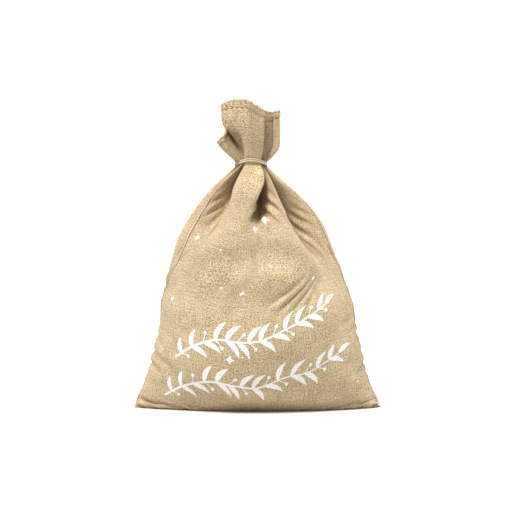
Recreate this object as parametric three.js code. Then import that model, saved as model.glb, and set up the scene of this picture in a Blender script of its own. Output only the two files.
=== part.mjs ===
// Fabric gift sack: two sewn cloth panels filled out and standing on the floor, the mouth
// gathered by a thin tie, and the gathered cloth above the tie spreading into a ruffle.
// Millimetres, +Z up, front towards -Y, +X to the right. The origin is on the floor, under
// the middle of the sack.
import * as THREE from "three";
import { mergeVertices } from "three/addons/utils/BufferGeometryUtils.js";

// ---------------------------------------------------------------- driving dimensions

const cornerSpan = 369; // from one bottom corner to the other, along the floor
const bellyDepth = 184; // front to back where the sack is fullest
const tieHeight = 366; // floor to the middle of the gathered neck
const ruffleHeight = 88; // from the tilt line just over the tie up to the hem's edge

const clothWall = 2; // thickness that the filled cloth has as a solid
const bunchWall = 8; // thickness of the cloth bunched up under the tie
const seamGap = 0.75; // half the room left between the two panels for the seam allowance
const seamCloth = 0.8; // thickness of the two sewn edges pressed together
const seamAllowance = 10; // how far the sewn edges reach into the sack
const touchGap = 0.3; // room kept between pieces that touch

const neckCentre = -9; // the neck leans a little to the left
const neckWidth = 45; // across the gathered neck
const neckDepth = 34;
const neckSeat = 8; // straight stretch of neck on each side of the tie

const ruffleCentre = -16; // middle of the ruffle's upper edge
const ruffleWidth = 92;
const ruffleDepth = 62;
const ruffleWall = 5; // the pleated cloth of the ruffle, as one wall
const hemDepth = 13; // the turned and stitched edge of the mouth
const hemWall = 6;
const stitchInset = 2; // from the hem's lower fold up to its row of stitches
const stitchSize = 0.8;
const pleats = 5; // on each panel
const pleatDepth = 4;

const tiltLimit = 15; // degrees that the ruffle nods forwards and back
const tiltLift = 8.5; // from the middle of the neck up to the line that it nods about

const tieSize = 2.2; // diameter of the tie
const tieTurns = 2;
const tiePitch = 2.5; // from one turn to the next
const tieArch = 4; // how much higher the tie sits at the front
const knotWidth = 13;
const knotDepth = 9;
const knotHeight = 11;
const tailKnotSize = 6; // small knot that finishes each tail
const tailExit = 4.3; // how far behind the knot's middle a tail comes out
const tailClear = 3.4; // from the back of the sack to the middle of a tail, front to back

const around = 24; // faces across a panel
const alongBase = 2; // faces from the bottom seam out to the sack's lower edge
const alongSeam = 16;
const alongRuffle = 6;

// ---------------------------------------------------------------- colours and materials

const linen = new THREE.MeshStandardMaterial({ color: 0xcdb48c, roughness: 0.95, metalness: 0 });
const linenEdge = new THREE.MeshStandardMaterial({ color: 0xbfa379, roughness: 0.95, metalness: 0 });
const thread = new THREE.MeshStandardMaterial({ color: 0xd9c6a2, roughness: 0.8, metalness: 0 });
const tieCotton = new THREE.MeshStandardMaterial({ color: 0xe0cfae, roughness: 0.85, metalness: 0 });

// ---------------------------------------------------------------- the shape of the sack

// Height as a share of the neck's height, then half width as a share of half the corner span
// and half depth as a share of half the belly depth.
const outline = [
  [0.0, 1.0, 0.6],
  [0.03, 0.985, 0.76],
  [0.11, 0.905, 0.92],
  [0.28, 0.815, 1.0],
  [0.46, 0.755, 0.965],
  [0.6, 0.69, 0.88],
  [0.69, 0.625, 0.79],
  [0.77, 0.547, 0.67],
  [0.855, 0.425, 0.5],
  [0.92, 0.295, 0.35],
];

/** Value at x on the straight lines through [x, value] pairs. */
function along(pairs, x) {
  if (x <= pairs[0][0]) return pairs[0][1];
  for (let i = 1; i < pairs.length; i += 1) {
    const [x0, y0] = pairs[i - 1];
    const [x1, y1] = pairs[i];
    if (x <= x1) return y0 + ((y1 - y0) * (x - x0)) / (x1 - x0);
  }
  return pairs[pairs.length - 1][1];
}

const seatBottom = tieHeight - neckSeat;
const tiltHeight = tieHeight + tiltLift;
const topHeight = tiltHeight + ruffleHeight;

/** Half width, half depth, middle and wall of the filled sack at height z. */
function bodyAt(z) {
  const widths = outline.map(([h, w]) => [h * tieHeight, (w * cornerSpan) / 2]);
  const depths = outline.map(([h, , d]) => [h * tieHeight, (d * bellyDepth) / 2]);
  widths.push([seatBottom, neckWidth / 2 + 2], [seatBottom + 3, neckWidth / 2]);
  depths.push([seatBottom, neckDepth / 2 + 2], [seatBottom + 3, neckDepth / 2]);
  const gathered = THREE.MathUtils.smoothstep(z, 0.7 * tieHeight, seatBottom);
  return {
    halfWidth: along(widths, z),
    halfDepth: along(depths, z),
    middle: neckCentre * THREE.MathUtils.smoothstep(z, 0.6 * tieHeight, seatBottom),
    wall: THREE.MathUtils.lerp(clothWall, bunchWall, gathered),
    pointed: THREE.MathUtils.lerp(1.7, 1.05, Math.min(1, z / (0.25 * tieHeight))),
  };
}

/** The same sizes for the ruffle, which widens from the neck up to its hem. */
function ruffleAt(z) {
  const rise = (z - tiltHeight) / ruffleHeight;
  const spread = Math.sin((Math.min(1, Math.max(0, rise) * 1.25) * Math.PI) / 2);
  return {
    halfWidth: THREE.MathUtils.lerp(neckWidth, ruffleWidth, spread) / 2,
    halfDepth: THREE.MathUtils.lerp(neckDepth, ruffleDepth, spread) / 2,
    middle: THREE.MathUtils.lerp(neckCentre, ruffleCentre, spread),
    wall: THREE.MathUtils.lerp(bunchWall, ruffleWall, spread),
    pointed: 1,
  };
}

/**
 * A point on one panel's cross-section. share runs from 0 at the left seam to 1 at the right,
 * side is -1 for the front panel and 1 for the back, inset is the distance in from the outside.
 */
function ringPoint(ring, share, side, inset, z, pleat = 0) {
  const turn = Math.PI * share;
  const fold = 0.5 * pleat * (1 - Math.cos(2 * pleats * turn));
  const width = ring.halfWidth - inset - 0.3 * fold;
  const depth = ring.halfDepth - seamGap - inset - fold;
  return new THREE.Vector3(
    ring.middle - width * Math.cos(turn),
    side * (seamGap + depth * Math.sin(turn) ** ring.pointed),
    z,
  );
}

/**
 * A piece of cloth as one closed solid: a thin box with many faces, each corner carried to
 * place(u, v, w), where u runs across, v up and w from the inner face to the outer one.
 */
function bentCloth(name, across, up, material, place) {
  const box = new THREE.BoxGeometry(1, 1, 1, across, up, 1);
  box.deleteAttribute("normal");
  box.deleteAttribute("uv");
  const cloth = mergeVertices(box, 1e-6);
  const corners = cloth.getAttribute("position");
  const corner = new THREE.Vector3();
  for (let i = 0; i < corners.count; i += 1) {
    corner.fromBufferAttribute(corners, i).addScalar(0.5);
    corner.copy(place(corner.x, corner.y, corner.z));
    corners.setXYZ(i, corner.x, corner.y, corner.z);
  }
  cloth.computeVertexNormals();
  const mesh = new THREE.Mesh(cloth, material);
  mesh.name = name;
  return mesh;
}

/** Half of a closed piece on the back is the front's place seen in a mirror, so u is turned. */
const acrossFrom = (side, u) => (side < 0 ? u : 1 - u);

// ---------------------------------------------------------------- the panels

/** Heights of the rows of a panel's wall: every height of the outline, and one between each. */
function wallHeights() {
  const known = outline.map(([h]) => h * tieHeight);
  known.push(seatBottom, seatBottom + 3, tieHeight, tiltHeight);
  const heights = [0];
  for (let i = 1; i < known.length; i += 1) {
    const step = known[i] - known[i - 1];
    if (step > 0.04 * tieHeight) heights.push(known[i] - step / 2);
    heights.push(known[i]);
  }
  return heights;
}

/** A place on the base, where out runs from 0 at the bottom seam to 1 at the lower edge. */
function basePoint(share, side, out, w) {
  const ring = bodyAt(0);
  const inset = clothWall * out * (1 - w);
  ring.halfWidth -= seamAllowance * (1 - out) + inset;
  ring.halfDepth = seamGap + (ring.halfDepth - seamGap) * out - inset;
  return ringPoint(ring, share, side, 0, clothWall * (1 - w));
}

/** One panel from the bottom seam, out along the floor, up the wall and into the neck. */
function panel(name, side) {
  const heights = wallHeights();
  const rows = alongBase + heights.length - 1;
  return bentCloth(name, around, rows, linen, (u, v, w) => {
    const share = acrossFrom(side, u);
    const row = Math.round(v * rows);
    if (row <= alongBase) return basePoint(share, side, row / alongBase, w);
    const z = heights[row - alongBase];
    const ring = bodyAt(z);
    const deep = THREE.MathUtils.smoothstep(z, 0.6 * tieHeight, 0.85 * tieHeight);
    const flat = THREE.MathUtils.smoothstep(z, 0.92 * tieHeight, seatBottom);
    const pleat = pleatDepth * deep * (1 - flat);
    return ringPoint(ring, share, side, (1 - w) * ring.wall, z, pleat);
  });
}

// ---------------------------------------------------------------- the seams inside

/** The two panels' sewn edges, pressed together up one side of the sack. */
function sideSeam(name, hand) {
  const bottom = seamAllowance + 4;
  return bentCloth(name, 1, alongSeam, linenEdge, (u, v, w) => {
    const z = THREE.MathUtils.lerp(bottom, seatBottom - 2, v);
    const ring = bodyAt(z);
    const reach = Math.min(seamAllowance, ring.halfWidth / 3);
    const inset = 0.5 + u * reach;
    const y = hand * (w - 0.5) * seamCloth;
    return new THREE.Vector3(ring.middle + hand * (ring.halfWidth - inset), y, z);
  });
}

/** The sewn bottom edges, standing up along the middle of the base. */
function bottomSeam() {
  const reach = cornerSpan / 2 - seamAllowance - 4;
  return bentCloth("bottom_seam", around, 1, linenEdge, (u, v, w) => {
    const y = (0.5 - w) * seamCloth;
    return new THREE.Vector3(THREE.MathUtils.lerp(-reach, reach, u), y, touchGap + v * seamAllowance);
  });
}

/** The side seam where it runs on up the ruffle, as far as the hem. */
function ruffleSeam(name, hand) {
  const bottom = tiltHeight + 2;
  const top = topHeight - hemDepth - touchGap;
  return bentCloth(name, 1, alongRuffle, linenEdge, (u, v, w) => {
    const z = THREE.MathUtils.lerp(bottom, top, v);
    const ring = ruffleAt(z);
    const inset = 0.5 + u * seamAllowance * 0.6;
    const y = hand * (w - 0.5) * seamCloth;
    return new THREE.Vector3(ring.middle + hand * (ring.halfWidth - inset), y, z);
  });
}

// ---------------------------------------------------------------- the ruffle above the tie

/** How deep the pleats of the ruffle are at height z. */
function rufflePleat(z) {
  return pleatDepth * THREE.MathUtils.smoothstep(z, tiltHeight, tiltHeight + 0.4 * ruffleHeight);
}

/** Lowest height of the ruffle at depth y, so that it can nod without meeting the neck. */
function clearOfNeck(y) {
  return tiltHeight + touchGap + Math.abs(y) * Math.tan(THREE.MathUtils.degToRad(tiltLimit + 1));
}

/** One panel's cloth above the tie, up to the fold of its hem. */
function ruffle(name, side) {
  const top = topHeight - hemDepth - touchGap;
  return bentCloth(name, around, alongRuffle, linen, (u, v, w) => {
    const share = acrossFrom(side, u);
    const straight = THREE.MathUtils.lerp(tiltHeight, top, v);
    const ring = ruffleAt(straight);
    const at = ringPoint(ring, share, side, (1 - w) * ring.wall, straight, rufflePleat(straight));
    at.z = THREE.MathUtils.lerp(clearOfNeck(at.y), top, v);
    return at;
  });
}

/** The turned edge of the mouth: the ruffle's own ring, a little thicker. */
function hem(name, side) {
  return bentCloth(name, around, 2, linenEdge, (u, v, w) => {
    const z = topHeight - hemDepth * (1 - v);
    const ring = ruffleAt(z);
    const inset = (1 - w) * hemWall - (hemWall - ruffleWall) / 2;
    return ringPoint(ring, acrossFrom(side, u), side, inset, z, rufflePleat(z));
  });
}

/** The row of stitches that holds the hem, as a flat thread lying on the cloth. */
function hemStitching(name, side) {
  return bentCloth(name, around, 1, thread, (u, v, w) => {
    const z = topHeight - hemDepth + stitchInset + v * stitchSize;
    const ring = ruffleAt(z);
    const share = THREE.MathUtils.lerp(0.03, 0.97, acrossFrom(side, u));
    const outside = (hemWall - ruffleWall) / 2 + touchGap;
    return ringPoint(ring, share, side, -outside - w * stitchSize, z, rufflePleat(z));
  });
}

// ---------------------------------------------------------------- the tie

/** A round cord along a curve, closed at both ends. */
function cord(name, curve, size, steps, material) {
  const section = new THREE.Shape().absarc(0, 0, size / 2, 0, 2 * Math.PI, false);
  const geometry = new THREE.ExtrudeGeometry(section, { curveSegments: 8, steps, extrudePath: curve });
  const mesh = new THREE.Mesh(geometry, material);
  mesh.name = name;
  return mesh;
}

/** Two turns of the tie round the neck, from the knot behind it back to the knot. */
class TieTurns extends THREE.Curve {
  getPoint(t, target = new THREE.Vector3()) {
    const clear = touchGap + tieSize / 2;
    const start = 0.35;
    const angle = Math.PI / 2 + start + t * (2 * Math.PI * tieTurns - 2 * start);
    const climb = (t - 0.5) * tiePitch * tieTurns;
    const front = 0.5 - 0.5 * Math.sin(angle);
    return target.set(
      neckCentre + (neckWidth / 2 + clear) * Math.cos(angle),
      (neckDepth / 2 + clear) * Math.sin(angle),
      tieHeight + climb + tieArch * (front - 0.5),
    );
  }
}

const knotY = neckDepth / 2 + 2 * touchGap + tieSize + knotDepth / 2;
const knotZ = tieHeight - tieArch / 2;

/** The knot behind the neck. */
function knot() {
  const ball = new THREE.SphereGeometry(0.5, 16, 10);
  ball.scale(knotWidth, knotDepth, knotHeight);
  const mesh = new THREE.Mesh(ball, tieCotton);
  mesh.position.set(neckCentre, knotY, knotZ);
  mesh.name = "tie_knot";
  return mesh;
}

/** Depth of the sack's back at x and z. */
function backAt(x, z) {
  const ring = bodyAt(z);
  const turn = Math.acos(THREE.MathUtils.clamp((ring.middle - x) / ring.halfWidth, -1, 1));
  return seamGap + (ring.halfDepth - seamGap) * Math.sin(turn) ** ring.pointed;
}

// The tails come out under the knot and lie on the back of the sack. Each list is one tail's
// route: how far to the side of the knot's middle and how far below it each point lies.
const leftTail = [
  [-3.5, 5.7], [-4.1, 8.0], [-5.0, 10.5], [-6.1, 13.8],
  [-7.5, 17.5], [-9.1, 22.0], [-11.0, 27.0], [-13.2, 32.6],
  [-15.5, 38.5], [-17.6, 44.4], [-19.5, 50.5], [-21.2, 56.9],
  [-22.5, 63.5], [-23.5, 70.0], [-24.0, 76.5], [-24.0, 82.6],
  [-23.5, 88.5],
].map(tailPoint);
const rightTail = [
  [3.5, 5.7], [4.3, 8.2], [5.4, 11.0], [7.0, 15.0],
  [9.0, 19.5], [11.3, 24.8], [13.8, 30.5], [16.3, 36.4],
  [18.6, 42.5], [20.5, 48.7], [22.0, 55.0], [23.0, 61.5],
  [23.4, 68.0], [23.2, 74.3], [22.6, 80.5], [21.5, 86.3],
  [20.0, 92.0],
].map(tailPoint);

/** A point of a tail: on the back of the sack, and behind the place where it leaves the knot. */
function tailPoint([side, down]) {
  const x = neckCentre + side;
  const z = knotZ - down;
  const y = Math.max(knotY + tailExit, backAt(x, z) + tailClear);
  return new THREE.Vector3(x, y, z);
}

/** One tail of the tie, from the knot to just before its own small knot. */
function tail(name, route) {
  return cord(name, new THREE.CatmullRomCurve3(route), tieSize, 24, tieCotton);
}

/** The small knot at a tail's end, in line with its last stretch. */
function tailKnot(name, route) {
  const end = route[route.length - 1];
  const away = end.clone().sub(route[route.length - 2]).normalize();
  const ball = new THREE.SphereGeometry(tailKnotSize / 2, 12, 8);
  const mesh = new THREE.Mesh(ball, tieCotton);
  mesh.position.copy(end).addScaledVector(away, tailKnotSize / 2 + touchGap);
  mesh.name = name;
  return mesh;
}

// ---------------------------------------------------------------- assembly

const sack = new THREE.Group();
sack.name = "fabric_gift_sack";
sack.add(panel("front_panel", -1), panel("back_panel", 1));
sack.add(bottomSeam(), sideSeam("left_side_seam", -1), sideSeam("right_side_seam", 1));
sack.add(cord("tie_turns", new TieTurns(), tieSize, 64, tieCotton), knot());

const mouth = new THREE.Group();
mouth.add(ruffle("front_ruffle", -1), ruffle("back_ruffle", 1));
mouth.add(ruffleSeam("left_ruffle_seam", -1), ruffleSeam("right_ruffle_seam", 1));
mouth.add(hem("front_hem", -1), hem("back_hem", 1));
mouth.add(hemStitching("front_hem_stitching", -1), hemStitching("back_hem_stitching", 1));
sack.add(mouth);

const tails = new THREE.Group();
tails.add(tail("left_tail", leftTail), tailKnot("left_tail_knot", leftTail));
tails.add(tail("right_tail", rightTail), tailKnot("right_tail_knot", rightTail));
sack.add(tails);

export default sack;
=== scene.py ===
import math

import bpy
import numpy as np
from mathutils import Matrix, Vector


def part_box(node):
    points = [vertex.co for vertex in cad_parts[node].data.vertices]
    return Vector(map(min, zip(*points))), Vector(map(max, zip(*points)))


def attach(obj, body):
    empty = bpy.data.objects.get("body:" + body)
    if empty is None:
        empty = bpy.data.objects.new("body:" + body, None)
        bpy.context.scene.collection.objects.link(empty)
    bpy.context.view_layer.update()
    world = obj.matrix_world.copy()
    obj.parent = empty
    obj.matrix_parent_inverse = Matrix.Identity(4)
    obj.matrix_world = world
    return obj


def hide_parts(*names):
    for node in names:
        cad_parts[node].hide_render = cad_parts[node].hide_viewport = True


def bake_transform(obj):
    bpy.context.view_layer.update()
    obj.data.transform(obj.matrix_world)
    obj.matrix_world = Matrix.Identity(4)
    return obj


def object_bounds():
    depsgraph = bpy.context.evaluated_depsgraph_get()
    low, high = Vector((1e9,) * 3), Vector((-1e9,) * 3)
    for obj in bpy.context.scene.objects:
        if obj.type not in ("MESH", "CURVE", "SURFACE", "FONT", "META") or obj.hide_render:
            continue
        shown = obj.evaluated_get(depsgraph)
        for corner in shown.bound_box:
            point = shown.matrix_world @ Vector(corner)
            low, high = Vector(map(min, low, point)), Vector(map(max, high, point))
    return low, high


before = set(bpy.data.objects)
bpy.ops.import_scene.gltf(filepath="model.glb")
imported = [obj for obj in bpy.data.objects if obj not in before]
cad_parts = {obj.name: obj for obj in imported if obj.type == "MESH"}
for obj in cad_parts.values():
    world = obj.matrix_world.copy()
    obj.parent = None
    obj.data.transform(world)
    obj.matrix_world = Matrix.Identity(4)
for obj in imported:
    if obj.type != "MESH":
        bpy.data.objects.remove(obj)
cad_box = np.array(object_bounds())
mm = 0.001

# ------------------------------------------------------------
# Camera: level with the sack's middle and a little above it, far enough off to look flat.
camera_distance = 2.6
camera_rise = math.radians(3.6)
view_width = 0.765
aim = np.array([-0.003, 0.0, 0.498 * cad_box[1, 2]])
camera = bpy.data.objects.new("camera", bpy.data.cameras.new("camera"))
camera.data.sensor_width = 36.0
camera.data.lens = camera.data.sensor_width * camera_distance / view_width
camera.data.clip_end = 30.0
camera.location = aim + camera_distance * np.array([0.0, -math.cos(camera_rise), math.sin(camera_rise)])
camera.rotation_euler = (math.pi / 2 - camera_rise, 0.0, 0.0)
bpy.context.collection.objects.link(camera)
bpy.context.scene.camera = camera

# ------------------------------------------------------------
# Tails of the tie: the two free ends of a soft two-ply cotton cord. They come out of the knot
# behind the neck and hang down the back of the sack, and a small knot stops each of them.
tie_size = 0.0022
ply_turn = 0.0065
tail_knot_size = 0.006
tail_knot_cord = 0.0017
into_knot = 0.0035
cord_sides = 12
ply_waist = 0.78
cotton_dark = (0.52, 0.40, 0.25, 1)
cotton_light = (0.88, 0.78, 0.61, 1)
left_tail_route = [
    (-0.0125, 0.0286, 0.3583), (-0.0131, 0.0286, 0.3560), (-0.0140, 0.0286, 0.3535),
    (-0.0151, 0.0286, 0.3502), (-0.0165, 0.0291, 0.3465), (-0.0181, 0.0317, 0.3420),
    (-0.0200, 0.0347, 0.3370), (-0.0222, 0.0377, 0.3314), (-0.0245, 0.0408, 0.3255),
    (-0.0266, 0.0439, 0.3196), (-0.0285, 0.0472, 0.3135), (-0.0302, 0.0502, 0.3071),
    (-0.0315, 0.0532, 0.3005), (-0.0325, 0.0563, 0.2940), (-0.0330, 0.0595, 0.2875),
    (-0.0330, 0.0625, 0.2814), (-0.0325, 0.0647, 0.2755),
]
right_tail_route = [
    (-0.0055, 0.0286, 0.3583), (-0.0047, 0.0286, 0.3558), (-0.0036, 0.0286, 0.3530),
    (-0.0020, 0.0286, 0.3490), (0.0000, 0.0302, 0.3445), (0.0023, 0.0333, 0.3392),
    (0.0048, 0.0366, 0.3335), (0.0073, 0.0398, 0.3276), (0.0096, 0.0431, 0.3215),
    (0.0115, 0.0466, 0.3153), (0.0130, 0.0499, 0.3090), (0.0140, 0.0532, 0.3025),
    (0.0144, 0.0566, 0.2960), (0.0142, 0.0599, 0.2897), (0.0136, 0.0632, 0.2835),
    (0.0125, 0.0658, 0.2777), (0.0110, 0.0682, 0.2720),
]


class Finish:
    """One material, with plain values for some of its shader's sockets, and short ways to add
    nodes to it."""

    def __init__(self, name, values):
        self.material = bpy.data.materials.new(name)
        self.material.use_nodes = True
        self.tree = self.material.node_tree
        self.shader = self.tree.nodes["Principled BSDF"]
        for socket, value in values.items():
            self.shader.inputs[socket].default_value = value

    def set(self, socket, source):
        """Links the source to the socket, or writes it there when it is a number or a colour."""
        if isinstance(source, (int, float, tuple)):
            socket.default_value = source
        else:
            self.tree.links.new(source, socket)

    def node(self, kind, *sources, **settings):
        """A new node, with the sources on its first sockets in turn."""
        made = self.tree.nodes.new(kind)
        for key, value in settings.items():
            setattr(made, key, value)
        for socket, source in zip(made.inputs, sources):
            self.set(socket, source)
        return made

    def math(self, operation, a, b=0.0):
        """One step of arithmetic on two values."""
        return self.node("ShaderNodeMath", a, b, operation=operation).outputs[0]

    def times(self, a, b):
        """a times b."""
        return self.math("MULTIPLY", a, b)

    def plus(self, a, b):
        """a and b added up."""
        return self.math("ADD", a, b)

    def mix(self, amount, a, b):
        """Colour a where the amount is 0, colour b where it is 1."""
        made = self.node("ShaderNodeMix", data_type="RGBA")
        for number, source in ((0, amount), (6, a), (7, b)):
            self.set(made.inputs[number], source)
        return made.outputs[2]

    def noise(self, x, y, z, scale, detail=2.0, roughness=0.5):
        """Smooth random values, 0 to 1, that change about scale times in one unit of the place."""
        made = self.node("ShaderNodeTexNoise", self.node("ShaderNodeCombineXYZ", x, y, z).outputs[0])
        made.inputs["Scale"].default_value = scale
        made.inputs["Detail"].default_value = detail
        made.inputs["Roughness"].default_value = roughness
        return made.outputs["Fac"]

    def surface_map(self):
        """The piece's own map: along its threads, in metres."""
        uv = self.node("ShaderNodeUVMap", uv_map="threads").outputs[0]
        return self.node("ShaderNodeSeparateXYZ", uv).outputs

    def paint(self, colour):
        """Gives the shader its colour."""
        self.set(self.shader.inputs["Base Color"], colour)

    def bump(self, height, strength, depth):
        """Lights the surface as if it stood out by the height times the depth."""
        made = self.node("ShaderNodeBump")
        made.inputs["Strength"].default_value = strength
        made.inputs["Distance"].default_value = depth
        self.set(made.inputs["Height"], height)
        self.set(self.shader.inputs["Normal"], made.outputs[0])


def piece_of(name, corners, faces, uv, finish):
    """A piece from its corners and faces, smooth, with a map value for each corner."""
    mesh = bpy.data.meshes.new(name)
    mesh.from_pydata(np.asarray(corners).reshape(-1, 3), [], faces)
    mesh.shade_smooth()
    if uv is not None:
        corner = np.empty(len(mesh.loops), dtype=np.int32)
        mesh.loops.foreach_get("vertex_index", corner)
        layer = mesh.uv_layers.new(name="threads")
        layer.data.foreach_set("uv", np.asarray(uv).reshape(-1, 2)[corner].astype(np.float32).ravel())
    piece = bpy.data.objects.new(name, mesh)
    bpy.context.collection.objects.link(piece)
    piece.data.materials.append(finish.material)
    return piece


def grid_faces(n_rows, n_cols, closed=False, ends=False):
    """A quad for each four neighbours of a grid. closed joins the last column to the first, and
    ends fills the first and the last row."""
    index = np.arange(n_rows * n_cols).reshape(n_rows, n_cols)
    right = np.roll(index, -1, axis=1) if closed else index[:, 1:]
    left = index if closed else index[:, :-1]
    faces = np.stack([left[:-1], right[:-1], right[1:], left[1:]], axis=-1).reshape(-1, 4).tolist()
    if ends:
        faces += [index[0, ::-1].tolist(), index[-1].tolist()]
    return faces


def extended(rows):
    """One more row at both ends, as far beyond as the last step."""
    return np.concatenate([2 * rows[:1] - rows[1:2], rows, 2 * rows[-1:] - rows[-2:-1]])


def smooth_line(points, share):
    """The smooth curve through the points (Catmull-Rom: each stretch leaves a point in the
    direction of the chord between its neighbours), at shares 0 to 1 of its run."""
    wide = extended(np.asarray(points, float))
    place = share * (len(points) - 1)
    k = np.clip(place.astype(int), 0, len(points) - 2)
    f = (place - k)[:, None]
    a, b, c, d = wide[k], wide[k + 1], wide[k + 2], wide[k + 3]
    return 0.5 * (2 * b + (c - a) * f + (2 * a - 5 * b + 4 * c - d) * f**2 + (3 * b - a - 3 * c + d) * f**3)


def lengths_along(line):
    """Length from the line's start to each of its points."""
    return np.concatenate([[0], np.cumsum(np.linalg.norm(np.diff(line, axis=0), axis=1))])


def unit(ways):
    """The same directions, each with a length of 1."""
    return ways / np.maximum(np.linalg.norm(ways, axis=-1, keepdims=True), 1e-9)


def two_ply(name, path, size, turn, closed=False):
    """A two-ply cord along a path. Its section is two joined rounds: the radius goes between the
    waist and the full one as |cos| of the angle, and the pattern turns once in each turn of
    length. The section keeps its direction, less the part that points along the path."""
    ahead = unit(np.roll(path, -1, 0) - np.roll(path, 1, 0) if closed else np.gradient(path, axis=0))
    side = np.zeros_like(path)
    way = np.cross(ahead[0], (0.3, 0.2, 1.0))
    for k in range(len(path)):
        way = unit(way - ahead[k] * (way @ ahead[k]))
        side[k] = way
    other = np.cross(ahead, side)
    length = lengths_along(path)
    angle = np.arange(cord_sides) * 2 * np.pi / cord_sides
    twist = 2 * np.pi * length / turn
    swell = np.abs(np.cos(angle[None] - twist[:, None])) ** 0.7
    radius = size / 2 * (ply_waist + (1 - ply_waist) * swell)
    spokes = np.cos(angle)[None, :, None] * side[:, None] + np.sin(angle)[None, :, None] * other[:, None]
    points = path[:, None] + radius[:, :, None] * spokes
    uv = np.stack(np.broadcast_arrays(angle[None] * size / 2, length[:, None]), axis=-1)
    piece = piece_of(name, points, grid_faces(len(path), cord_sides, closed=True, ends=True), uv, cotton)
    return piece


def small_knot(name, middle, size, cord_size, steps=160):
    """A pulled overhand knot: its line goes round the middle in three loops, over and under
    itself, as (sin t + 2 sin 2t, -1.2 sin 3t, cos t - 2 cos 2t) / 3."""
    t = np.linspace(0, 2 * np.pi, steps + 1)
    x, y, z = np.sin(t) + 2 * np.sin(2 * t), -1.2 * np.sin(3 * t), np.cos(t) - 2 * np.cos(2 * t)
    path = np.asarray(middle) + np.stack([x, y, z], axis=1) / 3 * (np.asarray(size) - cord_size) / 2
    return two_ply(name, path, cord_size, 2.6 * cord_size, closed=True)


cotton = Finish("tie_cotton", {"Roughness": 0.85, "Sheen Weight": 0.2})
round_it, along_it = cotton.surface_map()[:2]
fibre = cotton.noise(cotton.times(round_it, 9.0), along_it, 0.0, 700.0, 3.0)
shade = cotton.noise(round_it, along_it, 2.0, 90.0)
tone = cotton.plus(cotton.times(fibre, 0.8), cotton.times(shade, 0.4))
cotton.paint(cotton.mix(tone, cotton_dark, cotton_light))
cotton.bump(fibre, 0.5, 0.0002)


def tail(hand, route):
    """One tail with its end knot. It starts inside the tie's knot, and its end knot turns with the
    tail's own body."""
    inside = (route[0][0] * 0.8, route[0][1] - into_knot, route[0][2] + into_knot)
    line = smooth_line([inside] + route, np.linspace(0, 1, 400))
    length = lengths_along(line)
    even = np.linspace(0, length[-1], 120)
    path = np.stack([np.interp(even, length, line[:, axis]) for axis in range(3)], axis=1)
    cord = two_ply(hand + "_tail_cord", path, tie_size, ply_turn)
    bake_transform(cord)
    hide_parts(hand + "_tail")
    way = unit(path[-1] - path[-6])
    middle = path[-1] + way * (tail_knot_size / 2 + 0.3 * mm)
    knot = small_knot(hand + "_tail_end_knot", middle, tail_knot_size, tail_knot_cord)
    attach(knot, hand + "_tail")
    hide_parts(hand + "_tail_knot")
    return path


tail_paths = [tail("left", left_tail_route), tail("right", right_tail_route)]

# ------------------------------------------------------------
# Front and back cloth: two panels of plain-woven linen, sewn at the sides and the bottom,
# filled, and gathered by the tie into deep folds. Above the tie the same cloth opens out again.
half_width = (cad_box[1, 0] - cad_box[0, 0]) / 2
half_depth = (cad_box[1, 1] - cad_box[0, 1]) / 2
tie_low, tie_high = np.array(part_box("tie_turns"))
neck_middle = (tie_low[0] + tie_high[0]) / 2
tie_height = 0.366
cut_width = 0.370
cut_height = 0.530

# Both panels are one grid: columns run round the mouth, over the front from the left seam to the
# right seam and back behind; rows run from the bottom seam past the tie up to the hem.
grid_step = 0.005
columns = round(2 * cut_width / grid_step)
half = columns // 2
rows = round(cut_height / grid_step)
neck_row = 87

# The filled sack's outline: at shares of the tie's height, its half width and half depth as
# shares of the sack's, and its middle in millimetres.
outline_up = np.array([
    0, 0.033, 0.082, 0.148, 0.197, 0.279, 0.361, 0.443, 0.525, 0.601, 0.683, 0.751, 0.82, 0.888, 0.943,
    0.978, 1,
]) * tie_height
outline_wide = np.array([
    0.990, 0.982, 0.93, 0.878, 0.856, 0.813, 0.783, 0.759, 0.726, 0.688, 0.629, 0.564, 0.482, 0.363,
    0.244, 0.152, 0.119,
]) * half_width
outline_deep = np.array([
    0.42, 0.57, 0.76, 0.89, 0.95, 1, 1, 0.989, 0.946, 0.891, 0.815, 0.717, 0.587, 0.446, 0.326, 0.228,
    0.185,
]) * half_depth
outline_middle = np.array([0, 0, 0, 0, 0, 0, 0, -0.5, -1.5, -3, -3.5, -3.5, -3.5, -6, -9, -9, -9]) * mm

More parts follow.
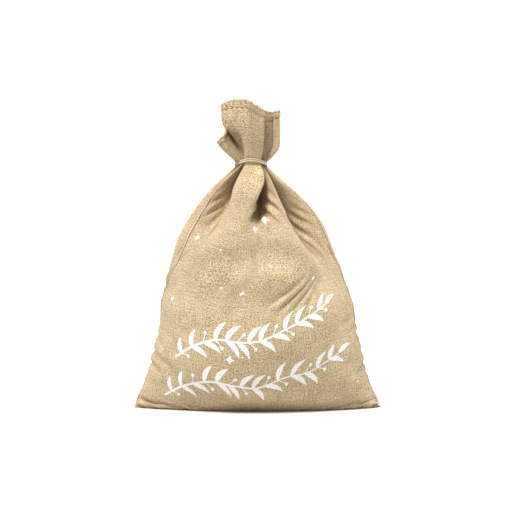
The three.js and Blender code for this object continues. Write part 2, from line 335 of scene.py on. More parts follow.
# Folds of the shoulder, in order from the left seam over the front, then round the back. A fold
# says how far across the sack it lies (-1 left edge, 1 right edge) at each of fold_heights, and
# how deep it goes in (0 on the outside, 1 at the middle, below 0 it stands out).
fold_heights = np.array([220, 250, 275, 300, 325, 345, 366]) * mm
front_folds = [
    ("left seam",
     [-0.92, -0.85, -0.845, -0.84, -0.84, -0.83, -0.68], [-0.01, -0.04, -0.05, -0.05, -0.03, 0.04, 0.1]),
    ("left valley",
     [-0.72, -0.62, -0.60, -0.60, -0.61, -0.6, -0.56], [0.02, 0.06, 0.26, 0.6, 0.95, 1.05, 0.7]),
    ("left roll",
     [-0.66, -0.52, -0.48, -0.49, -0.52, -0.53, -0.5], [0.02, 0.03, 0.12, 0.28, 0.42, 0.5, 0.3]),
    ("tongue left",
     [-0.6, -0.43, -0.38, -0.388, -0.433, -0.44, -0.41], [0.02, 0, -0.02, -0.05, -0.08, -0.06, 0.05]),
    ("tongue middle",
     [-0.33, -0.27, -0.25, -0.23, -0.15, -0.03, 0.1], [0, 0, -0.03, -0.12, -0.22, -0.3, 0.03]),
    ("tongue right",
     [-0.07, -0.1, -0.12, -0.075, 0.12, 0.42, 0.7], [0, 0, 0, -0.02, -0.08, -0.08, 0.05]),
    ("pocket",
     [0.1, 0.09, 0.08, 0.08, 0.17, 0.38, 0.6], [0.02, 0.04, 0.12, 0.72, 1.25, 1.15, 0.7]),
    ("second ridge",
     [0.654, 0.539, 0.476, 0.455, 0.478, 0.62, 0.83], [-0.02, -0.08, -0.11, -0.1, -0.03, 0.05, 0.15]),
    ("right valley",
     [0.82, 0.72, 0.675, 0.66, 0.68, 0.76, 0.9], [0.2, 0.6, 1.15, 1.3, 1.15, 0.95, 0.5]),
    ("right seam",
     [0.98, 0.965, 0.955, 0.945, 0.93, 0.92, 0.97], [0, 0, 0, 0, 0, 0, 0.1]),
]
back_folds = [
    ("back valley 1",
     [0.84, 0.84, 0.84, 0.83, 0.82, 0.8, 0.78], [0.03, 0.12, 0.25, 0.4, 0.55, 0.7, 0.8]),
    ("back ridge 1",
     [0.66, 0.66, 0.66, 0.66, 0.65, 0.6, 0.6], [0, 0, 0, 0, 0, 0, 0.05]),
    ("back valley 2",
     [0.42, 0.42, 0.43, 0.44, 0.44, 0.42, 0.4], [0.04, 0.18, 0.35, 0.5, 0.65, 0.7, 0.8]),
    ("back ridge 2",
     [0.15, 0.17, 0.19, 0.2, 0.2, 0.2, 0.15], [0, 0, 0, 0, 0, 0, 0]),
    ("back valley 3",
     [-0.08, -0.08, -0.08, -0.07, -0.06, -0.04, -0.04], [0.03, 0.12, 0.25, 0.42, 0.6, 0.7, 0.8]),
    ("back ridge 3",
     [-0.36, -0.34, -0.33, -0.32, -0.27, -0.2, -0.2], [0, 0, 0, 0, 0, 0, 0.05]),
    ("back valley 4",
     [-0.62, -0.62, -0.62, -0.62, -0.6, -0.56, -0.5], [0.02, 0.15, 0.3, 0.45, 0.6, 0.7, 0.8]),
    ("left edge",
     [-0.9999] * 7, [0, 0, 0, 0, 0, 0, 0.1]),
]
# Where each fold ends at the mouth, in the same order, and the shares of the ruffle's height at
# which it starts to open out and has opened out that far.
mouth_folds = np.array([
    (-50, -30, 406), (-42, 9, 428), (-53, -14, 453), (-12, -42, 455), (0, -31, 451), (11.5, -21, 446),
    (6, -13, 440), (29, -2, 438), (24, -8, 444), (33, -15, 446), (24, 8, 438), (27, 20, 442),
    (12, 9, 446), (0, 24, 455), (-14, 8, 452), (-32, 28, 453), (-46, 8, 414), (-62, -10, 399),
]) * mm
mouth_start = np.array([0, 0.15, 0.40, 0, 0, 0, 0, 0, 0, 0, 0, 0, 0, 0, 0, 0, 0, 0])
mouth_open = np.array([
    1.1, 1.0, 0.72, 1, 0.8, 0.6, 0.8, 0.45, 0.45, 0.4, 0.4, 0.6, 0.6, 0.6, 0.6, 0.6, 0.8, 1.25,
])
ruffle_crease = 0.7

# The mouth's peak: how far it lies from the third fold to the fourth, its height and reach.
peak_between, peak_height, peak_width = 0.62, 0.008, 0.014

# The oval's ends are pointed below one height, the folds fade out between two others, and the
# core that a fold goes in to is a share as wide as the sack.
end_point, end_height = 0.7, 0.09
fade_low, fade_high = 0.145, 0.222
core_share = 0.7


def gradual(z, heights, sizes):
    """The size at height z: the average of the straight lines between the sizes over up to 12 mm
    each way, and over less near the floor and the tie."""
    reach = np.minimum(0.012, np.minimum(np.abs(z), np.abs(tie_height - z)))
    return np.mean([np.interp(z + share * reach, heights, sizes) for share in np.linspace(-1, 1, 7)], axis=0)


def outline(z):
    """Half width, half depth and middle at height z."""
    return [gradual(z, outline_up, size) for size in (outline_wide, outline_deep, outline_middle)]


def on_outline(turn, z):
    """Point of the unfolded outline: x and y are cosine and sine of the turn (0 at the left edge,
    1 at the right edge, 2 at the left again), with the ends of the oval pointed near the floor."""
    wide, deep, middle = outline(z)
    point = 1.0 + end_point * np.clip(1 - z / end_height, 0, 1)
    s = np.sin(np.pi * turn)
    return middle - wide * np.cos(np.pi * turn), -deep * np.sign(s) * np.abs(s) ** point, middle


def folded(turn, deep, z):
    """The outline's point moved a share deep of the way to the core, which lies at y = 0."""
    x, y, middle = on_outline(turn, z)
    core_x = middle + core_share * (x - middle)
    return x + deep * (core_x - x), y * (1 - deep)


def smooth_weights(knots, period, at):
    """Weights that carry values at the knots to the places at, by periodic cubic (Hermite) curves
    whose slope at a knot is that of the chord between its neighbours."""
    wide = np.concatenate([knots - period, knots, knots + period])[:, None]
    own = np.tile(np.eye(len(knots)), (3, 1))
    k = np.searchsorted(wide[:, 0], at, side="right") - 1
    h = wide[k + 1] - wide[k]
    f = (at[:, None] - wide[k]) / h
    slope_a = (own[k + 1] - own[k - 1]) / (wide[k + 1] - wide[k - 1])
    slope_b = (own[k + 2] - own[k]) / (wide[k + 2] - wide[k])
    values = (2 * f**3 - 3 * f**2 + 1) * own[k] + (3 * f**2 - 2 * f**3) * own[k + 1]
    return values + (f**3 - 2 * f**2 + f) * h * slope_a + (f**3 - f**2) * h * slope_b


def straight_weights(knots, period, at):
    """Weights for straight lines between the knots, so that the cloth is creased at each."""
    wide = np.append(knots, knots[0] + period)
    own = np.eye(len(knots))
    own = np.concatenate([own, own[:1]])
    return np.stack([np.interp(at, wide, column) for column in own.T], axis=1)


folds = front_folds + back_folds
seam_fold = len(front_folds) - 1
side_share = np.arccos(-np.array([fold[1] for fold in folds])) / np.pi
is_front = np.arange(len(folds))[:, None] <= seam_fold
fold_turn = np.where(is_front, side_share, 2 - side_share)
fold_deep = np.array([fold[2] for fold in folds])

# Where each fold lies on the flat cloth: by the lengths between folds round the shoulder.
shoulder = 0.285
ring = folded(*[
    np.array([np.interp(shoulder, fold_heights, row) for row in table]) for table in (fold_turn, fold_deep)
], shoulder)
legs = np.hypot(np.roll(ring[0], -1) - ring[0], np.roll(ring[1], -1) - ring[1])
front_legs, back_legs = legs[:seam_fold], legs[seam_fold:]
fold_s = cut_width * np.concatenate([
    np.concatenate([[0], np.cumsum(front_legs)]) / front_legs.sum(),
    1 + np.cumsum(back_legs)[:-1] / back_legs.sum(),
])
column_s = np.arange(columns) * grid_step
spread = smooth_weights(fold_s, 2 * cut_width, column_s)
creased = straight_weights(fold_s, 2 * cut_width, column_s)


def even_turn(z):
    """Turn of each column where the cloth lies evenly round the outline at height z."""
    turn = np.linspace(0, 1, 401)
    length = lengths_along(np.stack(on_outline(turn, z)[:2], axis=1))
    share = column_s / cut_width
    front = np.interp(share, length / length[-1], turn)
    back = 2 - np.interp(2 - share, length / length[-1], turn)
    return np.where(share <= 1, front, back)


def eased(value, low, high):
    """0 below low, 1 above high, and a smooth step between them."""
    t = np.clip((value - low) / (high - low), 0, 1)
    return t * t * (3 - 2 * t)


def body_ring(z):
    """All columns at height z: even round the belly, and folded by the tables higher up."""
    key_turn = np.array([gradual(z, fold_heights, turns) for turns in fold_turn])
    key_deep = np.array([gradual(z, fold_heights, deeps) for deeps in fold_deep])
    turn = spread @ (key_turn - fold_s / cut_width) + column_s / cut_width
    mix = eased(z, fade_low, fade_high)
    return folded(mix * turn + (1 - mix) * even_turn(z), mix * (spread @ key_deep), z)


# Share of a thread's length that lies below each height, and its length along the floor.
climb = np.array([0, 5.5, 12, 27, 44.5, 57, 65, 73.6, 83, 90.5, 96.5, 100]) / 100
climb_height = np.array([0, 12, 40, 100, 170, 220, 250, 282, 312, 336, 354, 366]) * mm
floor_length = 0.040


def body_cloth():
    """Rows from the bottom seam up to the tie: out along the floor, then up the wall."""
    v = (np.arange(neck_row + 1) / neck_row)[:, None]
    on_floor = floor_length * np.abs(np.sin(np.pi * column_s / cut_width)) ** 1.2 / (neck_row * grid_step)
    z = np.interp(np.clip((v - on_floor) / (1 - on_floor), 0, 1), climb, climb_height)
    levels = np.linspace(0, tie_height, 184)
    rings = np.array([body_ring(level) for level in levels])
    place = z / tie_height * (len(levels) - 1)
    low = np.clip(place.astype(int), 0, len(levels) - 2)
    part = (place - low)[..., None]
    column = np.broadcast_to(np.arange(columns), low.shape)
    points = rings[low, :, column] * (1 - part) + rings[low + 1, :, column] * part
    points[..., 1] *= np.clip(v / np.maximum(on_floor, 1e-6), 0, 1)
    return np.concatenate([points, z[..., None]], axis=-1)


def bell(value, middle, reach):
    """1 at the middle, and less on both sides: exp of minus the square of distance over reach."""
    return np.exp(-(((value - middle) / reach) ** 2))


def ruffle_cloth(neck_ring):
    """Rows from the tie to the hem: each column spreads out as the sine of its height to the
    power 1.3, then runs straight up to its place at the mouth."""
    weights = ruffle_crease * creased + (1 - ruffle_crease) * spread
    mouth = weights @ mouth_folds
    peak = fold_s[2] + peak_between * (fold_s[3] - fold_s[2])
    mouth[:, 2] += peak_height * bell(column_s, peak, peak_width)
    start, opened_at = weights @ mouth_start, weights @ mouth_open
    r = (np.arange(1, rows - neck_row + 1) / (rows - neck_row))[:, None]
    opened = (np.sin(np.clip((r - start) / (opened_at - start), 0, 1) * np.pi / 2) ** 1.3)[..., None]
    points = neck_ring[None] + (mouth - neck_ring)[None] * opened
    points[:, :, 2] = neck_ring[:, 2] + (mouth[:, 2] - neck_ring[:, 2]) * r
    return points


body = body_cloth()
cloth = np.concatenate([body, ruffle_cloth(body[-1])])


def normals(points):
    """Unit outward direction at every point: its way round the mouth times its way up."""
    around = np.roll(points, -1, axis=1) - np.roll(points, 1, axis=1)
    return unit(np.cross(around, np.gradient(points, axis=0)))


# Soft dents and bulges of the filling, as (x, z, reach across, reach up, height) in mm, and its
# slow waves.
wave_count, wave_length, wave_height = 24, 0.080, 1.3 * mm
front_swells = [
    (-70, 246, 28, 22, 10), (16, 198, 34, 24, 9), (32, 236, 26, 22, -7), (62, 192, 34, 24, -4),
    (-34, 170, 44, 20, -6), (-112, 168, 20, 40, 5), (104, 150, 20, 34, 7), (14, 120, 60, 24, 5),
    (-128, 50, 20, 22, -4), (128, 44, 22, 26, 4), (-60, 70, 50, 22, 4), (40, 50, 40, 20, -4),
    (-24, 226, 18, 18, -8), (90, 70, 26, 22, -5),
]


def swollen(points):
    """Moves the cloth along its outward direction: on the front by a bell-shaped bump for each
    swell, and everywhere by a sum of slow waves in random directions."""
    random = np.random.default_rng(5)
    total = np.zeros(points.shape[:2])
    for _ in range(wave_count):
        way = random.normal(size=3)
        way *= 2 * np.pi / (wave_length * random.uniform(0.7, 1.5) * np.linalg.norm(way))
        total += np.sin(points @ way + random.uniform(0, 2 * np.pi))
    height = wave_height * total / np.sqrt(wave_count / 2)
    facing = points[:, :, 1] < 0
    for x, z, across, up, swell in front_swells:
        far_x = (points[:, :, 0] - x * mm) / (across * mm)
        far_z = (points[:, :, 2] - z * mm) / (up * mm)
        height += swell * mm * np.exp(-(far_x**2 + far_z**2)) * facing
    height *= np.clip((0.31 - points[:, :, 2]) / 0.06, 0, 1) * np.clip((points[:, :, 2] - 0.008) / 0.04, 0, 1)
    return points + normals(points) * height[..., None]


def kept_apart(points, first, second, rest, strength, free):
    """Moves both ends of each thread towards its rest length, shared by how free each end is."""
    d = points[second] - points[first]
    length = np.maximum(np.linalg.norm(d, axis=2, keepdims=True), 1e-9)
    move = d * (strength * (1 - rest / length) / np.maximum(free[first] + free[second], 1e-9))
    points[first] += move * free[first]
    points[second] -= move * free[second]


def settle(start, around_rest, up_rest, hold, free, push, rounds, stiff=0.005):
    """Cloth at rest. In each round the filling pushes it outwards, it is drawn back a share hold
    to where it started, it resists bending (it moves against its curvature's curvature), its
    threads both ways and its diagonals go back to their lengths, and the floor holds it up."""
    points = start.copy()
    diagonal = np.hypot(around_rest[:-1], up_rest)
    even = np.arange(0, columns, 2)
    odd = even + 1
    every = np.arange(len(points))
    for _ in range(rounds):
        points += free * (push * normals(points) + hold * (start - points))
        bend = points
        for _ in range(2):
            padded = extended(bend)
            bend = padded[2:] + padded[:-2] + np.roll(bend, 1, 1) + np.roll(bend, -1, 1) - 4 * bend
        points -= free * stiff * bend
        for first, second in ((even, odd), (odd, (odd + 1) % columns)):
            kept_apart(points, np.ix_(every, first), np.ix_(every, second), around_rest[:, first], 0.9, free)
        for low in (0, 1):
            first = every[low:-1:2]
            kept_apart(points, first, first + 1, up_rest[first], 0.9, free)
        for way in (1, -1):
            d = np.roll(points, -way, axis=1)[1:] - points[:-1]
            length = np.maximum(np.linalg.norm(d, axis=2, keepdims=True), 1e-9)
            move = 0.12 * d * (1 - diagonal / length)
            points[:-1] += move * free[:-1]
            points[1:] -= np.roll(move, way, axis=1) * free[1:]
        points[:, :, 2] = np.maximum(points[:, :, 2], floor_gap)
    return points


# How much longer than the grid the threads may get both ways on the belly, the share by which
# the cloth is drawn back at each height, and how far the filling pushes it in a round.
slack_up = 0.005
slack_around = 0.008
hold_heights = [0, 0.025, 0.045, 0.13, 0.20, 0.26, 0.30, 0.34, 0.366, 0.40]
hold_shares = [0.10, 0.06, 0.008, 0.016, 0.04, 0.04, 0.06, 0.15, 0.3, 0.3]
filling_push = 0.00004
floor_gap = 0.0006
free = np.ones((rows + 1, columns, 1))
free[0] = 0
free[neck_row - 1:neck_row + 2] = 0
height = cloth[:, :, 2:]
around_rest = np.linalg.norm(np.roll(cloth, -1, axis=1) - cloth, axis=2, keepdims=True)
up_rest = np.linalg.norm(np.diff(cloth, axis=0), axis=2, keepdims=True)
slack = eased(height[:neck_row], 0.20, 0.26)
up_rest[:neck_row] = slack * up_rest[:neck_row] + (1 - slack) * grid_step * (1 + slack_up)
around_rest = around_rest * (1 + slack_around * np.clip((0.30 - height) / 0.08, 0, 1))
hold = np.interp(height, hold_heights, hold_shares)
push = filling_push * np.clip((0.33 - height) / 0.15, 0, 1)
cloth = settle(swollen(cloth), around_rest, up_rest, hold, free, push, 400)


def doubled(points):
    """The same cloth on a grid twice as fine: a new point halfway between two is 9/16 of each of
    them less 1/16 of the next ones out, first round the mouth and then up the sack."""
    before, after = np.roll(points, 1, axis=1), np.roll(points, -1, axis=1)
    middle = (9 * (points + after) - before - np.roll(points, -2, axis=1)) / 16
    wide = np.stack([points, middle], axis=2).reshape(len(points), -1, 3)
    up = extended(wide)
    middle = (9 * (up[1:-2] + up[2:-1]) - up[:-3] - up[3:]) / 16
    fine = np.empty((2 * len(wide) - 1,) + wide.shape[1:])
    fine[0::2] = wide
    fine[1::2] = middle
    return fine


cloth = doubled(cloth)
columns, half, step = 2 * columns, 2 * half, grid_step / 2
cloth_u = np.arange(columns) * step
cloth_v = np.arange(len(cloth)) * step
mouth_v = cloth_v[-1]
hem_depth = 0.0115


def sewn_in(points):
    """The marks of sewing, in mm. The cloth stands up at a side seam and dips just behind it, and
    above the tie it dips on both sides of the seam. At the hem's stitches it dips, with a soft
    roll above them."""
    beside = np.abs((cloth_u + cut_width / 2) % cut_width - cut_width / 2)
    behind = np.where(cloth_u > cut_width, beside, 1.0)
    seam = 0.6 * (beside < step / 2) - 1.4 * bell(behind, 0.0035, 0.0020) - 4.5 * bell(behind, 0.009, 0.006)
    seam = seam[None] * np.interp(cloth_v, [0.0, 0.2, 0.30, 0.40, 0.46], [0.4, 0.6, 1.0, 1.0, 0.4])[:, None]
    seam = seam - bell(beside, 0.0038, 0.0018) * eased(cloth_v, 0.42, 0.46)[:, None]
    below = mouth_v - cloth_v
    hem_marks = 0.4 * bell(below, 0.006, 0.003) - 1.1 * bell(below, hem_depth, 0.0018)
    return points + normals(points) * ((seam + hem_marks[:, None]) * mm)[..., None]


tie_turns = 2
tie_pitch = 0.0025
tie_arch = 0.0072
tie_dip = 0.0030
tie_wide = 0.0239
tie_deep = 0.0184
tie_sink = 0.62 * tie_size
tie_flare = 62
tail_sink = 0.0016


def tie_level(angle):
    """Height of the tie's middle at an angle round the neck: arched up at the front and a little
    lower at the back, both by the square of the sine."""
    side = np.sin(angle)
    return tie_height + np.where(side < 0, tie_arch, -tie_dip) * side**2


def cinched(points):
    """Keeps the cloth inside the tie: its distance from the neck's middle, as a share of the
    tie's own, is at most 1 between the turns and grows with the height off them."""
    x = (points[..., 0] - neck_middle) / (tie_wide - tie_sink)
    y = points[..., 1] / (tie_deep - tie_sink)
    off = np.abs(points[..., 2] - tie_level(np.arctan2(y, x)))
    limit = 1 + tie_flare * np.maximum(off - 0.0026, 0)
    share = np.minimum(1, limit / np.maximum(np.hypot(x, y), 1e-6))
    points = points.copy()
    points[..., 0] = neck_middle + (points[..., 0] - neck_middle) * share
    points[..., 1] *= share
    return points


def pressed_under(points, path):
    """Keeps the back cloth just under a tail: no further back than the cord's middle less the
    sink, and rising by half of the distance to the side."""
    line = path[::-1]
    x, y = (np.interp(points[..., 2], line[:, 2], line[:, axis]) for axis in (0, 1))
    side = np.abs(points[..., 0] - x)
    past = np.maximum(line[0, 2] - 0.008 - points[..., 2], 0) + np.maximum(points[..., 2] - line[-1, 2], 0)
    limit = y - tail_sink + 0.5 * np.maximum(side - 0.0015, 0) + 0.6 * past
    points = points.copy()
    points[..., 1] = np.where(points[..., 1] > 0, np.minimum(points[..., 1], limit), points[..., 1])
    return points


cloth = cinched(sewn_in(cloth))
for tail_path in tail_paths:
    cloth = pressed_under(cloth, tail_path)
cloth[:, :, 2] = np.maximum(cloth[:, :, 2], floor_gap)
outward = normals(cloth)


def on_cloth(u, v, lift):
    """Point and outward direction at u round the mouth and v up the cloth, lift off it: a mix of
    the four grid points around, by how near each is."""
    u, v = np.broadcast_arrays(u, v)
    u, v = u / step % columns, np.clip(v / step, 0, len(cloth) - 1.001)
    i, j = u.astype(int), v.astype(int)
    fu, fv = (u - i)[..., None], (v - j)[..., None]
    right = (i + 1) % columns

    def mixed(values):
        """The values' mix at each place."""
        low = values[j, i] * (1 - fu) + values[j, right] * fu
        high = values[j + 1, i] * (1 - fu) + values[j + 1, right] * fu
        return low * (1 - fv) + high * fv

    way = unit(mixed(outward))
    return mixed(cloth) + way * np.asarray(lift)[..., None], way


thread_pitch = 0.00125
# The linen's tone runs from dark to light: the threads' own tone, and painted shade in the weave's hollows.
linen_dark = (0.32, 0.205, 0.095, 1)
linen_light = (0.79, 0.672, 0.478, 1)
linen_fleck = (0.16, 0.095, 0.04, 1)
tone_low = 1.975
fleck_limit = 0.775


def weave(finish, dark, light, fleck=True):
    """Plain weave on the cloth's own map. In a cell where the warp is on top the height is that
    of a thread running up, elsewhere of one running across, and the cells change like a
    chessboard. The colour goes from dark to light with the height, which is painted shade: darker
    in the weave's hollows and lighter on the threads' crowns. It also goes with the thick
    stretches (slubs) of each thread, and with a fine and a broad grain, the threads' own tone.
    Gives height and colour."""
    u, v = finish.surface_map()[:2]
    drift = finish.times(finish.noise(u, v, 0.0, 45.0, 1.0), 1.5)
    a = finish.plus(finish.math("DIVIDE", u, thread_pitch), drift)
    b = finish.plus(finish.math("DIVIDE", v, thread_pitch), drift)
    wave_a = finish.math("SINE", finish.times(a, math.pi))
    wave_b = finish.math("SINE", finish.times(b, math.pi))
    warp_up = finish.math("GREATER_THAN", finish.times(wave_a, wave_b), 0.0)
    wave_a, wave_b = finish.math("ABSOLUTE", wave_a), finish.math("ABSOLUTE", wave_b)

    def on_top(warp, weft):
        """The warp's value where the warp is on top, and the weft's elsewhere."""
        return finish.plus(weft, finish.times(warp_up, finish.math("SUBTRACT", warp, weft)))

    height = on_top(finish.times(wave_a, finish.math("POWER", wave_b, 0.4)),
                    finish.times(wave_b, finish.math("POWER", wave_a, 0.4)))
    slub = on_top(
        finish.noise(finish.times(a, 0.6), finish.times(b, 0.06), 3.0, 1.0, 2.0, 0.6),
        finish.noise(finish.times(a, 0.06), finish.times(b, 0.6), 9.0, 1.0, 2.0, 0.6),
    )
    grain = finish.noise(a, b, 0.0, 0.75, 2.0, 0.6)
    broad = finish.noise(u, v, 5.0, 28.0)
    # Painted shade: a share 0.3 of the thread's height darkens the weave's hollows; slubs, grain and broad
    # are the threads' own tone.
    tone = finish.math("SUBTRACT", finish.times(height, 0.3), tone_low)
    for pattern, amount in ((slub, 1.5), (grain, 3.0), (broad, 0.4)):
        tone = finish.plus(tone, finish.times(pattern, amount))
    colour = finish.mix(finish.node("ShaderNodeClamp", tone).outputs[0], dark, light)
    if fleck:
        speck = finish.noise(finish.times(a, 0.35), b, 15.0, 0.55, 1.0)
        colour = finish.mix(finish.math("GREATER_THAN", speck, fleck_limit), colour, linen_fleck)
    return finish.plus(height, finish.times(slub, 0.9)), colour


linen = Finish("linen", {
    "Roughness": 0.92, "Sheen Weight": 0.12, "Sheen Roughness": 0.6, "Specular IOR Level": 0.2,
})
linen_height, linen_colour = weave(linen, linen_dark, linen_light)
linen.paint(linen_colour)
linen.bump(linen_height, 0.7, 0.0004)

cloth_thickness = 0.0009


def panel(name, first, nodes):
    """One panel, from one side seam to the other, with its thickness inside."""
    take = (np.arange(half + 1) + first) % columns
    uv = np.stack(np.meshgrid((np.arange(half + 1) + first) * step, cloth_v), axis=-1)
    piece = piece_of(name, cloth[:, take], grid_faces(len(cloth), half + 1), uv, linen)
    wall = piece.modifiers.new("thickness", "SOLIDIFY")
    wall.thickness = cloth_thickness
    wall.offset = -1
    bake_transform(piece)
    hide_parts(*nodes)
    return piece


front_cloth = panel("front_cloth", 0, ("front_panel", "front_ruffle"))
back_cloth = panel("back_cloth", half, ("back_panel", "back_ruffle"))

# ------------------------------------------------------------
# Side seams: the panels are sewn together inside out, so outside a seam is a narrow raised
# line of the linen, painted paler as a highlight along its ridge, and inside the two sewn edges
# stand in like a fin.
seam_half = 0.0016
seam_rise = 0.0013
# Both ends of the seam's tone are paler than the linen's: a painted highlight along the ridge.
seam_highlight_dark = (0.52, 0.37, 0.20, 1)
seam_highlight_light = (0.95, 0.82, 0.60, 1)
highlit_seam_linen = Finish("highlit_seam_linen", {"Roughness": 0.92})
seam_height, highlit_seam_colour = weave(highlit_seam_linen, seam_highlight_dark, seam_highlight_light, fleck=False)
highlit_seam_linen.paint(highlit_seam_colour)
highlit_seam_linen.bump(seam_height, 0.7, 0.0004)


def side_seam(hand, u):
    """A profile carried up one seam: half a round outside and a thin fin inside."""
    v = np.linspace(0.001, mouth_v - 0.0035, len(cloth))
    place, way = on_cloth(u, v, 0.0)
    plain = np.exp(-v / 0.008)[:, None]
    way = unit(way * (1 - plain) + plain * np.array([1.0 if u else -1.0, 0.0, 0.0]))
    side = on_cloth(u + 0.0012, v, 0.0)[0] - place
    side = unit(side - way * (side * way).sum(axis=1, keepdims=True))
    fin = np.interp(v, [0.0, 0.01, 0.33, 0.42, 0.45, 0.50], [0.002, 0.009, 0.008, 0.0015, 0.0015, 0.004])
    angle = np.linspace(0, np.pi, 7)
    ridge = np.stack([seam_half * np.cos(angle), seam_rise * np.sin(angle) - 0.0002], axis=1)
    root = np.array([(-0.0004, -0.0006), (-0.0004, -0.001), (0.0004, -0.001), (0.0004, -0.0006)])
    profile = np.repeat(np.concatenate([ridge, root])[None], len(v), 0)
    profile[:, 8:10, 1] = -fin[:, None]
    points = place[:, None] + side[:, None] * profile[:, :, :1] + way[:, None] * profile[:, :, 1:]
    points[:, :, 2] = np.maximum(points[:, :, 2], 0.0004)
    uv = np.stack(np.broadcast_arrays(seam_half * np.arange(11)[None] + u, v[:, None]), axis=-1)
    name = hand + "_side_seam_line"
    piece = piece_of(name, points, grid_faces(len(v), 11, closed=True, ends=True), uv, highlit_seam_linen)
    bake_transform(piece)
    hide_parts(hand + "_side_seam", hand + "_ruffle_seam")


side_seam("left", 0.0)
side_seam("right", cut_width)

# ------------------------------------------------------------
# Bottom seam: the sewn edges of both panels, folded in under the filling along the floor. Its
# cut edge is a little fuzzy, with the same threads as the cloth.
sewn_edge = Finish("sewn_edge", {"Roughness": 0.95})
edge_place = sewn_edge.node("ShaderNodeTexCoord").outputs["Object"]
edge_fuzz = sewn_edge.node("ShaderNodeTexNoise", edge_place)
edge_fuzz.inputs["Scale"].default_value = 900
sewn_edge.paint(sewn_edge.mix(edge_fuzz.outputs["Fac"], linen_dark, linen_light))
sewn_edge.bump(edge_fuzz.outputs["Fac"], 0.5, 0.0003)
for slot in bpy.data.objects["bottom_seam"].material_slots:
    slot.material = sewn_edge.material

# ------------------------------------------------------------
# Hem: the mouth's edge is turned in and stitched all round, so its fold is round and the cloth
# is double behind it. A row of short stitches holds it, in a slightly darker thread.
hem_profile = np.array([
    (0.15, -2.5), (0.45, -1.2), (0.45, -0.2), (0.15, 0.5), (-0.6, 0.85), (-1.5, 0.7), (-2.1, 0.1),
    (-2.25, -1.0), (-2.2, -6.0), (-2.1, -11.0), (-1.6, -11.8), (-1.1, -11.2), (-1.05, -6.0),
    (-0.9, -3.0), (-0.4, -2.8),
]) * mm
stitch_length = 0.0027
stitch_pitch = 0.0037
stitch_radius = 0.00045
thread_colour = (0.22, 0.135, 0.06, 1)


def hem(side, first):
    """The hem's profile carried along the mouth. Its top follows the edge, with a slight wave,
    and its lower part follows the cloth's inside."""
    u = first + np.linspace(0.0, cut_width, half + 1)
    edge, way = on_cloth(u, mouth_v, 0.0)
    up = unit(edge - on_cloth(u, mouth_v - 2 * step, 0.0)[0])
    points = edge[:, None] + way[:, None] * hem_profile[:, :1] + up[:, None] * hem_profile[:, 1:]
    low = hem_profile[:, 1] < -3 * mm
    points[:, low] = on_cloth(u[:, None], mouth_v + hem_profile[low, 1], hem_profile[low, 0])[0]
    wave = 0.35 * mm * np.sin(u / 0.0042) * np.sin(u / 0.013)
    points = points + up[:, None] * wave[:, None, None]
    length = lengths_along(hem_profile)
    uv = np.stack(np.broadcast_arrays(u[:, None], length[None] + mouth_v), axis=-1)
    faces = grid_faces(len(u), len(length), closed=True, ends=True)
    piece = piece_of(side + "_hem_fold", points[:, ::-1], faces, uv[:, ::-1], linen)
    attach(piece, "ruffle")
    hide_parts(side + "_hem")
    return piece


sewing_thread = Finish("sewing_thread", {"Roughness": 0.7, "Base Color": thread_colour})
thread_place = sewing_thread.node("ShaderNodeTexCoord").outputs["Object"]
thread_twist = sewing_thread.node("ShaderNodeTexWave", thread_place, bands_direction="DIAGONAL")
thread_twist.inputs["Scale"].default_value = 900
sewing_thread.bump(thread_twist.outputs["Fac"], 0.4, 0.0001)


def stitches(side, first):
    """A row of stitches on the cloth: each is a short bar, rounded by the fourth power of its
    length, sunk a little where its ends go into the cloth."""
    count, rings, sides = int(cut_width / stitch_pitch), 7, 6
    share = np.linspace(-1, 1, rings)[:, None]
    angle = np.arange(sides) * 2 * np.pi / sides
    middle = first + ((np.arange(count) + 0.5) * cut_width / count)[:, None, None]
    thick = stitch_radius * np.sqrt(np.clip(1 - share**4, 0.02, 1))
    lift = 0.15 * mm + 0.8 * thick * np.sin(angle) - 0.6 * stitch_radius * share**4
    v = mouth_v - hem_depth + thick * np.cos(angle)
    points = on_cloth(middle + share * stitch_length / 2, v, lift)[0]
    one = np.array(grid_faces(rings, sides, closed=True))
    start = (np.arange(count) * rings * sides)[:, None]
    faces = (one[None] + start[:, :, None]).reshape(-1, 4).tolist()
    for cap in (np.arange(sides)[::-1], np.arange(sides) + (rings - 1) * sides):
        faces += (cap[None] + start).tolist()
    piece = piece_of(side + "_hem_stitches", points, faces, None, sewing_thread)
    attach(piece, "ruffle")
    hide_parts(side + "_hem_stitching")
    return piece


front_hem, front_stitches = hem("front", 0.0), stitches("front", 0.0)
back_hem, back_stitches = hem("back", cut_width), stitches("back", cut_width)

# ------------------------------------------------------------
# Tie: the cotton cord, wound twice round the neck, pulled tight and knotted behind it.
turn_share = np.linspace(0, 1, 420)
tie_angle = np.pi / 2 + 0.35 + turn_share * (2 * np.pi * tie_turns - 0.7)
tie_path = np.stack([
    neck_middle + tie_wide * np.cos(tie_angle),
    tie_deep * np.sin(tie_angle),
    tie_level(tie_angle) + (turn_share - 0.5) * tie_pitch * tie_turns,
], axis=1)
tie = two_ply("tie_cord", tie_path, tie_size, ply_turn)
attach(tie, "sack")
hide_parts("tie_turns")

knot_low, knot_high = np.array(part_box("tie_knot"))
tie_knot = small_knot("tie_knot_loops", (knot_low + knot_high) / 2, knot_high - knot_low, tie_size)
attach(tie_knot, "sack")
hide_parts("tie_knot")

# ------------------------------------------------------------
# Print: white ink on the front, two leafy sprigs that rise to the right and a scatter of small
# four-pointed sparkles. The ink is a thin film on the threads.
ink_lift = 0.0002
